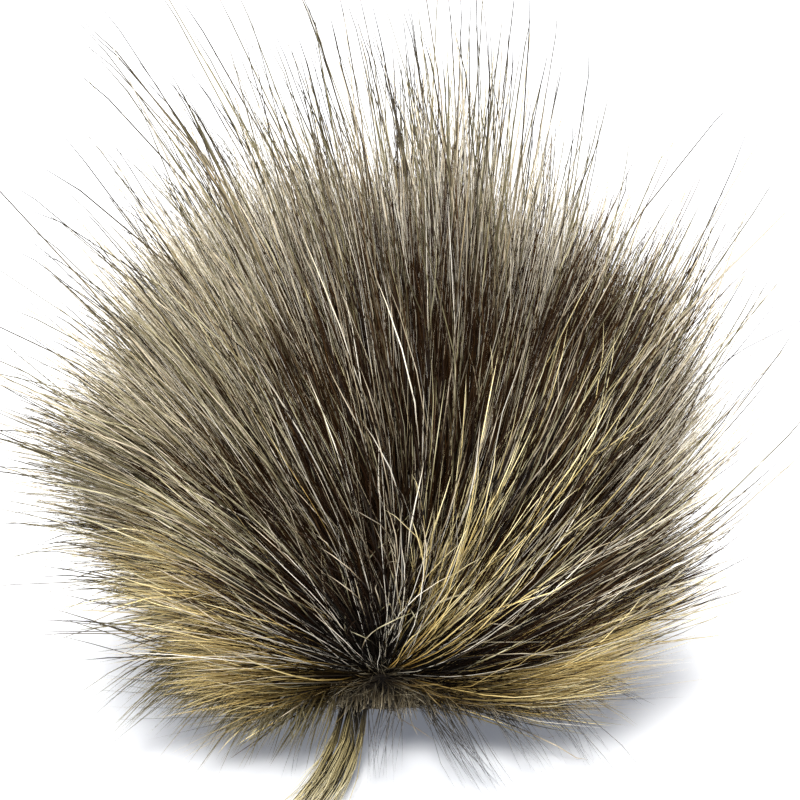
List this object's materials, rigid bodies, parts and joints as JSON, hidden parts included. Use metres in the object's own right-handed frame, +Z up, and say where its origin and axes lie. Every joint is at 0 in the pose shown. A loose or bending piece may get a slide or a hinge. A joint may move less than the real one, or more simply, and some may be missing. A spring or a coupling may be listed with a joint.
{
  "type": "pom pom",
  "caption": "Round pom pom of long-haired fur on its side, its pelt gathered into a ball and the hair swept back from the gather, to trim a hat, bag or key ring.",
  "frame": {"origin": "bottom centre of the bounding box, on the surface that the pom pom rests on", "axes": "+Z up, -Y to the front, where the gather and the drawn-out tuft are, +X to the right seen from the front"},
  "size_m": [0.1506, 0.1546, 0.1277],
  "materials": {
    "fur": "long soft fur, dark brown near the skin with tan and cream bands"
  },
  "bodies": {
    "root": {"fur_pompom": "fur"}
  },
  "joints": []
}
